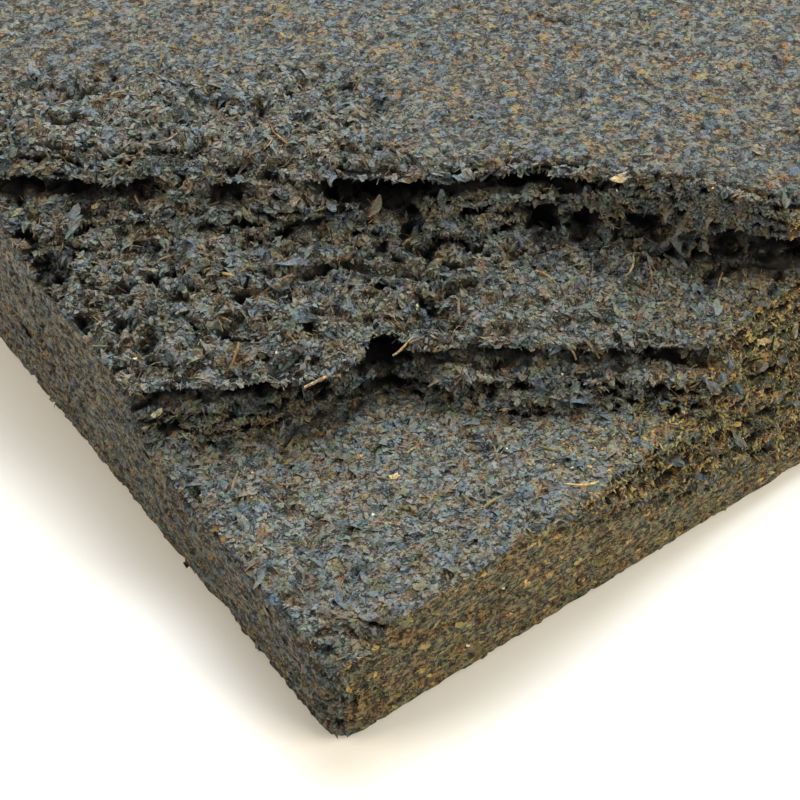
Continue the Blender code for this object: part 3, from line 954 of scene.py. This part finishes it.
def piece_turn(tree, given, normal):
    """Return how each strewn piece lies: along the layers, then turned a little at random."""
    up = node(tree, MIX, (given["Level Share"], normal, (0.0, 0.0, 1.0)), data_type="VECTOR")
    facing = node(tree, "FunctionNodeAlignRotationToVector", {"Vector": up}, axis="Z")
    level = node(tree, VECTOR, ((0.0, 0.0, 1.0), normal), operation="CROSS_PRODUCT")
    grain = node(tree, "FunctionNodeAlignRotationToVector", {"Rotation": facing, "Vector": level},
                 axis="X", pivot_axis="Z")
    turn = node(tree, RANDOM, (*ALL_WAYS, None, given["Seed"]), data_type="FLOAT_VECTOR")
    turn = node(tree, VECTOR, (turn, given["Turn"]), operation="MULTIPLY")
    return node(tree, "FunctionNodeRotateRotation", {"Rotation": grain, "Rotate By": turn},
                rotation_space="LOCAL")


def piece_size(tree, given):
    """Return the size of each strewn piece: most are small and a few are large."""
    next_seed = node(tree, MATH, (given["Seed"], 1.0))
    bias = node(tree, MATH, (node(tree, RANDOM, (0.0, 1.0, None, next_seed)), 2.2), operation="POWER")
    return node(tree, MIX, (bias, given["Smallest"], given["Largest"]))


def scatter_tree():
    """Return the tree that strews instances over the part of a surface that an attribute marks.

    Each piece keeps a random tone, and no point of one ends up below the ground.
    """
    tree, given, result = geometry_tree("leaf_scatter", {
        "Pieces": "Collection", "Material": "Material", "Zone": "String", "Density": "Float",
        "Seed": "Int", "Smallest": "Float", "Largest": "Float", "Turn": "Vector",
        "Level Share": "Float", "Sink": "Float"})
    zone = node(tree, READ, (given["Zone"],))
    density = node(tree, MATH, (zone, given["Density"]), operation="MULTIPLY")
    spread = node(tree, "GeometryNodeDistributePointsOnFaces",
                  {"Mesh": given["Geometry"], "Density": density, "Seed": given["Seed"]})
    normal = spread.outputs["Normal"]
    size = piece_size(tree, given)
    sink = node(tree, MATH, (size, given["Sink"]), operation="MULTIPLY")
    sink = node(tree, MATH, (sink, -1.0), operation="MULTIPLY")
    drop = node(tree, VECTOR, (normal, sink), operation="SCALE")
    sunk = node(tree, "GeometryNodeSetPosition", {"Geometry": spread, "Offset": drop})
    pieces = node(tree, "GeometryNodeCollectionInfo",
                  {"Collection": given["Pieces"], "Separate Children": True, "Reset Children": True})
    strewn = node(tree, "GeometryNodeInstanceOnPoints", {
        "Points": sunk, "Instance": pieces, "Pick Instance": True,
        "Rotation": piece_turn(tree, given, normal), "Scale": size})
    last_seed = node(tree, MATH, (given["Seed"], 2.0))
    tone = node(tree, RANDOM, (0.0, 1.0, None, last_seed))
    toned = node(tree, STORE, {"Geometry": strewn, "Name": "tone", "Value": tone},
                 data_type="FLOAT", domain="INSTANCE")
    real = node(tree, "GeometryNodeRealizeInstances", {"Geometry": toned})
    above = node(tree, VECTOR, (node(tree, "GeometryNodeInputPosition"), (-1.0, -1.0, 0.0)),
                 operation="MAXIMUM")
    raised = node(tree, "GeometryNodeSetPosition", {"Geometry": real, "Position": above})
    painted = node(tree, "GeometryNodeSetMaterial", {"Geometry": raised, "Material": given["Material"]})
    tree.links.new(painted.outputs[0], result["Geometry"])
    return tree


def ground():
    """Return one mesh of both ends of the mass, marked with how thickly the loose leaf lies."""
    mesh = bpy.data.meshes.get("ground")
    if mesh is None:
        bm = bmesh.new()
        for end in ENDS:
            bm.from_mesh(bpy.data.objects[end].data)
        mesh = plain_mesh("ground", bm)
        mark_leaf(mesh)
    return mesh


def zone_area(mesh, zone):
    """Return the area that a zone covers, in square metres."""
    weights = read_attribute(mesh, zone)
    mesh.calc_loop_triangles()
    corners = np.empty(len(mesh.loop_triangles) * 3, np.int32)
    mesh.loop_triangles.foreach_get("vertices", corners)
    areas = np.empty(len(mesh.loop_triangles), np.float32)
    mesh.loop_triangles.foreach_get("area", areas)
    return float((areas * weights[corners.reshape(-1, 3)].mean(axis=1)).sum())


def strew(name, meshes, material, zone, count, size, seed, tilt, spin=180, level=0.0, sink=0.0):
    """Strew copies of some meshes over a zone of the pressed mass, as one plain mesh.

    Tilt and spin are the largest turns in degrees, level draws the pieces towards lying flat,
    and sink is how deep they sit, as a share of their size.
    """
    collection = bpy.data.collections.new(name + "_kinds")
    kinds = [bpy.data.objects.new(mesh.name, mesh) for mesh in meshes]
    for kind in kinds:
        collection.objects.link(kind)
    piece = new_object(name, ground())
    tree = bpy.data.node_groups.get("leaf_scatter") or scatter_tree()
    run_tree(piece, tree, {
        "Pieces": collection, "Material": material, "Zone": zone,
        "Density": count / zone_area(ground(), zone), "Seed": seed,
        "Smallest": SMALLEST * size, "Largest": LARGEST * size,
        "Turn": tuple(math.radians(angle) for angle in (tilt, tilt, spin)),
        "Level Share": level, "Sink": sink})
    for kind in kinds:
        bpy.data.objects.remove(kind)
    bpy.data.collections.remove(collection)
    declare(piece)


class TEA_OT_lay_shelf_flakes(bpy.types.Operator):
    """Lay flat leaf flakes over the shelf and the terraces"""

    bl_idname = "tea.lay_shelf_flakes"
    bl_label = "Lay the shelf flakes"

    def execute(self, context):
        leaf = context.scene.tea_leaf
        material = leaf_flake("fermented_leaf_flake_flat", FLAT_TONES, roughness=0.6, contrast=0.5)
        flakes = chips("flat_flake", 10, seed=11, aspect=(0.4, 0.8), thickness=(0.02, 0.05), curl=0.3)
        strew("flat_leaf_flakes", flakes, material, "shelf", leaf.shelf_count, leaf.shelf_size,
              seed=101, tilt=9, sink=-0.02)
        return {"FINISHED"}


class TEA_OT_raise_riser_flakes(bpy.types.Operator):
    """Set ragged flakes into the steps between the layers"""

    bl_idname = "tea.raise_riser_flakes"
    bl_label = "Set the riser flakes"

    def execute(self, context):
        leaf = context.scene.tea_leaf
        material = leaf_flake("fermented_leaf_flake_torn", TORN_TONES, roughness=0.55)
        flakes = chips("torn_flake", 10, seed=12, aspect=(0.3, 0.65), thickness=(0.03, 0.07), curl=0.5)
        strew("torn_leaf_flakes", flakes, material, "riser", leaf.riser_count, leaf.riser_size,
              seed=102, tilt=26, level=0.6, sink=-0.02)
        return {"FINISHED"}


class TEA_OT_fill_scoop(bpy.types.Operator):
    """Cover the broken long side with ragged olive flakes, and the rest of it with flush ones"""

    bl_idname = "tea.fill_scoop"
    bl_label = "Cover the broken side"

    def execute(self, context):
        leaf = context.scene.tea_leaf
        material = leaf_flake("half_fermented_olive_leaf", OLIVE_TONES, roughness=0.6, contrast=0.7)
        ragged = chips("olive_flake", 10, seed=13, aspect=(0.25, 0.6), thickness=(0.03, 0.07), curl=0.5)
        strew("olive_leaf_flakes", ragged, material, "olive", leaf.scoop_count, leaf.scoop_size,
              seed=103, tilt=34, level=0.45)
        flush = chips("flush_olive", 8, seed=18, **FLUSH)
        strew("flush_olive_flakes", flush, material, "pressed_side", leaf.side_count, leaf.pressed_size,
              seed=110, tilt=4, spin=35, sink=0.01)
        return {"FINISHED"}


class TEA_OT_press_flush_flakes(bpy.types.Operator):
    """Press flakes flush into the moulded faces"""

    bl_idname = "tea.press_flush_flakes"
    bl_label = "Press the flush flakes"

    def execute(self, context):
        leaf = context.scene.tea_leaf
        material = leaf_flake("fermented_leaf_flake_pressed", FLUSH_TONES, roughness=0.6, contrast=0.65)
        flakes = chips("flush_flake", 8, seed=14, **FLUSH)
        strew("flush_leaf_flakes", flakes, material, "pressed", leaf.pressed_count, leaf.pressed_size,
              seed=104, tilt=4, spin=35, sink=0.01)
        return {"FINISHED"}


class TEA_OT_drop_crumbs(bpy.types.Operator):
    """Drop small crumbs of leaf over everything that is broken"""

    bl_idname = "tea.drop_crumbs"
    bl_label = "Drop the crumbs"

    def execute(self, context):
        leaf = context.scene.tea_leaf
        material = leaf_flake("tea_leaf_crumb", "black brown grey slate brown rust straw", roughness=0.6)
        crumbs = chips("crumb", 6, seed=15, aspect=(0.4, 0.8), thickness=(0.15, 0.3), curl=0.3)
        strew("leaf_crumbs", crumbs, material, "loose", leaf.crumb_count, leaf.crumb_size,
              seed=105, tilt=180)
        return {"FINISHED"}


class TEA_OT_stick_in_stalks(bpy.types.Operator):
    """Stick tan and rust stalks, fine fibres and rolled leaves into the break"""

    bl_idname = "tea.stick_in_stalks"
    bl_label = "Stick in the stalks"

    def execute(self, context):
        leaf = context.scene.tea_leaf
        rng = random.Random(16)
        wood = stalk_skin()
        stems = [stem_mesh(f"stalk_{index}", rng, thickness=0.045, bend=0.5, steps=5, sides=6)
                 for index in range(8)]
        strew("tea_stalks", stems, wood, "loose", leaf.stalk_count, leaf.stalk_size, seed=106, tilt=18)
        wisps = [stem_mesh(f"fibre_{index}", rng, thickness=0.03, bend=1.0, steps=4, sides=3)
                 for index in range(8)]
        strew("leaf_fibres", wisps, wood, "loose", leaf.fibre_count, leaf.fibre_size, seed=107, tilt=40)
        rolled = leaf_flake("rolled_tea_leaf", "black brown slate brown grey olive", roughness=0.5)
        curls = [curl_mesh(f"curl_{index}", rng, steps=5) for index in range(8)]
        strew("rolled_leaves", curls, rolled, "loose", leaf.curl_count, leaf.curl_size,
              seed=108, tilt=20, level=0.6)
        return {"FINISHED"}


class TEA_OT_sprinkle_grit(bpy.types.Operator):
    """Sprinkle a few pale mineral specks"""

    bl_idname = "tea.sprinkle_grit"
    bl_label = "Sprinkle the grit"

    def execute(self, context):
        leaf = context.scene.tea_leaf
        specks = chips("grit", 5, seed=17, aspect=(0.7, 0.95), thickness=(0.3, 0.5), curl=0.1)
        strew("mineral_grit", specks, grit_mineral(), "loose", leaf.grit_count, leaf.grit_size,
              seed=109, tilt=180)
        return {"FINISHED"}


# ---------------------------------------------------------------- single pieces


# The pieces that catch the eye: place across, inward and up from the near corner and length,
# all in millimetres, then heading and tip in degrees, and how pale the piece is.
SINGLE_STALKS = {
    "curled_stalk_under_hole": (10, 59, 31, 5, 20, 8, 1.4),
    "long_stalk_left_of_hole": (-2, 54, 33, 7, 6, 0, 1.1),
    "tan_stalk_on_shelf": (42, 35, 25, 6, 8, 0, 1.4),
    "upright_stalk": (54, 77, 38, 5, 60, 50, 1.3),
    "stalk_on_far_terrace": (-20, 76, 39, 5, -30, 10, 1.3),
}
SINGLE_LEAVES = {
    "yellow_leaf_at_left_riser": (-31, 50, 30, 3, 40, 20, 1.6),
    "yellow_flake_by_scoop": (77, 66, 30, 3, 10, 10, 1.6),
    "tan_leaf_on_shelf": (10, 39, 23, 3, 30, 0, 1.2),
    "tan_leaf_near_top": (52, 86, 51, 4, 15, 0, 1.2),
    "orange_leaf_far_left": (-59, 90, 44, 3, 20, 20, 1.0),
    "orange_leaf_in_crevice": (-45, 90, 44, 3, -20, 20, 1.0),
    "orange_leaf_at_riser": (30, 53, 27, 2, 10, 10, 1.0),
}
SINGLE_COOL_LEAVES = {
    "blue_grey_leaf_in_crevice": (-48, 90, 44, 5, 70, 30, 0.9),
    "grey_oval_leaf": (68, 68, 37, 4, 80, 0, 0.9),
    "blue_grey_leaf_on_shelf": (14, 14, 24, 4, 20, 0, 0.6),
}
SINGLE_SPECKS = {
    "speck_low_on_side": (22, 15, 8, 1, 0, 0, 1.5),
    "speck_on_side": (28, 20, 17, 1, 40, 0, 1.5),
    "speck_near_rim": (32, 22, 16, 1, 80, 0, 1.5),
    "speck_far_left": (-35, 60, 34, 1, 10, 0, 1.5),
}


SINGLE_LIFT = 0.3 * MM


def resting_place(mass, spot, heading, tip):
    """Return the turn and place of a piece that lies on the mass near a spot, its length along X."""
    across, inward, height = spot
    up = Vector((0, 0, 1))
    wanted = NEAR_CORNER + MM * (across * ACROSS + inward * INWARD + height * up)
    place, normal, _, _ = mass.find_nearest(wanted)
    lean = up.rotation_difference(normal + up).to_matrix().to_4x4()
    aim = Matrix.Rotation(math.atan2(ACROSS.y, ACROSS.x) + math.radians(heading), 4, "Z")
    raised = Matrix.Rotation(-math.radians(tip), 4, "Y")
    return Matrix.Translation(place + SINGLE_LIFT * normal) @ lean @ aim @ raised


def lay_singles(name, rows, material, shape):
    """Lay a few named pieces on the break, each at its own place, as one mesh."""
    bm = bmesh.new()
    bm.from_mesh(ground())
    mass = BVHTree.FromBMesh(bm)
    bm.clear()
    rng = random.Random(19)
    tones = []
    for label, (*spot, length, heading, tip, tone) in rows.items():
        mesh = shape(label, rng)
        mesh.transform(resting_place(mass, spot, heading, tip) @ Matrix.Scale(length * MM, 4))
        bm.from_mesh(mesh)
        tones += [tone] * len(mesh.vertices)
        bpy.data.meshes.remove(mesh)
    piece = new_object(name, plain_mesh(name, bm))
    write_attributes(piece.data, {"tone": np.array(tones)})
    piece.data.materials.append(material)
    declare(piece)


def single_stalk(name, rng):
    """Return a stalk of unit length with eight sides."""
    return stem_mesh(name, rng, thickness=0.05, bend=0.8, steps=8, sides=8)


def single_leaf(name, rng):
    """Return a bent leaf of unit length with a torn rim."""
    return chip_mesh(name, rng, corners=9, aspect=0.5, thickness=0.03, curl=0.5)


class TEA_OT_lay_single_pieces(bpy.types.Operator):
    """Lay the few stalks, leaves and specks that catch the eye"""

    bl_idname = "tea.lay_single_pieces"
    bl_label = "Lay the single pieces"

    def execute(self, context):
        warm = leaf_flake("pale_torn_leaf", "rust tan straw", roughness=0.6)
        # Their blue-grey is partly bloom and partly painted sheen.
        cool = leaf_flake("blue_grey_bloomed_leaf", "slate grey", roughness=0.5, contrast=0.5)
        lay_singles("single_stalks", SINGLE_STALKS, stalk_skin(), single_stalk)
        lay_singles("single_leaves", SINGLE_LEAVES, warm, single_leaf)
        lay_singles("single_cool_leaves", SINGLE_COOL_LEAVES, cool, single_leaf)
        lay_singles("single_specks", SINGLE_SPECKS, grit_mineral(), single_leaf)
        return {"FINISHED"}


# ---------------------------------------------------------------- stage


# Soft square lights: heading from the view and height in degrees, distance and size in metres,
# power in watts, and colour.
LIGHTS = {
    "window": (172, 52, 1.1, 0.9, 38, (0.88, 0.94, 1.0)),
    "side_fill": (76, 28, 1.2, 0.9, 23, (1.0, 0.9, 0.7)),
    "left_fill": (-86, 24, 1.2, 0.8, 17, (1.0, 0.86, 0.64)),
}
SKY_COLOUR = (0.86, 0.92, 1.0, 1)
SKY_STRENGTH = 0.35
FLOOR_HALF = 1.5


def aim_turn(place, target, roll=0.0):
    """Return the rotation of a camera or light at a place that looks at a target."""
    turn = (target - place).to_track_quat("-Z", "Y")
    return turn @ Matrix.Rotation(roll, 3, "Z").to_quaternion()


def direction(azimuth, elevation):
    """Return the unit vector towards a viewer at an azimuth and elevation."""
    return Vector((math.sin(azimuth) * math.cos(elevation), -math.cos(azimuth) * math.cos(elevation),
                   math.sin(elevation)))


def add_light(name, target, azimuth, elevation, distance, size, power, colour):
    """Add one soft square light that looks at the brick."""
    light = bpy.data.lights.new(name, "AREA")
    light.shape = "SQUARE"
    light.size = size
    light.energy = power
    light.color = colour
    lamp = new_object(name, light)
    lamp.location = target + distance * direction(math.radians(azimuth), math.radians(elevation))
    lamp.rotation_euler = aim_turn(lamp.location, target).to_euler()


def lay_floor(half, colour):
    """Lay a pale floor of matt paint with a faint cloudiness."""
    mesh = bpy.data.meshes.new("floor")
    mesh.from_pydata([(-half, -half, 0), (half, -half, 0), (half, half, 0), (-half, half, 0)], [],
                     [(0, 1, 2, 3)])
    floor = new_object("floor", mesh)
    material, tree, shader = surface("matt_studio_paint", roughness=0.85)
    place = node(tree, "ShaderNodeTexCoord").outputs["Object"]
    cloud = node(tree, NOISE, (place, 6.0, 2.0))
    shade = tuple(0.96 * channel for channel in colour)
    tone = node(tree, RAMP, (cloud,), stops=((0.3, shade), (0.7, tuple(colour))))
    tree.links.new(tone.outputs[0], shader.inputs["Base Color"])
    mesh.materials.append(material)


class TEA_OT_set_stage(bpy.types.Operator):
    """Lay the pale floor and set the soft lights and the camera"""

    bl_idname = "tea.set_stage"
    bl_label = "Set the stage"

    def execute(self, context):
        stage = context.scene.tea_stage
        lay_floor(FLOOR_HALF, context.scene.tea_colours.floor)
        world = bpy.data.worlds.new("soft_studio")
        context.scene.world = world
        world.use_nodes = True
        sky = world.node_tree.nodes["Background"]
        sky.inputs["Color"].default_value = SKY_COLOUR
        sky.inputs["Strength"].default_value = SKY_STRENGTH
        target = NEAR_CORNER + Vector(stage.aim)
        view = math.degrees(stage.azimuth)
        for name, (heading, *rest) in LIGHTS.items():
            add_light(name, target, view + heading, *rest)

        lens = bpy.data.cameras.new("camera")
        lens.lens = stage.lens
        lens.sensor_width = 36
        lens.clip_start = 0.01
        camera = new_object("camera", lens)
        camera.location = target + stage.distance * direction(stage.azimuth, stage.elevation)
        camera.rotation_euler = aim_turn(camera.location, target, stage.roll).to_euler()
        context.scene.camera = camera
        context.scene.view_settings.view_transform = "Standard"
        return {"FINISHED"}


# ---------------------------------------------------------------- panel and registration


OPERATORS = (
    TEA_OT_press_mass,
    TEA_OT_lay_shelf_flakes,
    TEA_OT_raise_riser_flakes,
    TEA_OT_fill_scoop,
    TEA_OT_press_flush_flakes,
    TEA_OT_drop_crumbs,
    TEA_OT_stick_in_stalks,
    TEA_OT_sprinkle_grit,
    TEA_OT_lay_single_pieces,
    TEA_OT_set_stage,
)


class TEA_PT_brick(bpy.types.Panel):
    """Lists the settings and the steps that build the brick"""

    bl_idname = "TEA_PT_brick"
    bl_label = "Dark tea brick"
    bl_space_type = "VIEW_3D"
    bl_region_type = "UI"
    bl_category = "Tea Brick"

    def draw(self, context):
        for name, group in SETTINGS.items():
            box = self.layout.box()
            for setting in group.__annotations__:
                box.prop(getattr(context.scene, name), setting)
        for operator in OPERATORS:
            self.layout.operator(operator.bl_idname)


CLASSES = (*SETTINGS.values(), *OPERATORS, TEA_PT_brick)


def register():
    for cls in CLASSES:
        bpy.utils.register_class(cls)
    for name, group in SETTINGS.items():
        setattr(bpy.types.Scene, name, bpy.props.PointerProperty(type=group))


def unregister():
    for name in SETTINGS:
        delattr(bpy.types.Scene, name)
    for cls in reversed(CLASSES):
        bpy.utils.unregister_class(cls)


def main():
    register()
    bpy.ops.tea.press_mass()
    bpy.ops.tea.lay_shelf_flakes()
    bpy.ops.tea.raise_riser_flakes()
    bpy.ops.tea.fill_scoop()
    bpy.ops.tea.press_flush_flakes()
    bpy.ops.tea.drop_crumbs()
    bpy.ops.tea.stick_in_stalks()
    bpy.ops.tea.sprinkle_grit()
    bpy.ops.tea.lay_single_pieces()
    bpy.ops.tea.set_stage()


if __name__ == "__main__":
    main()
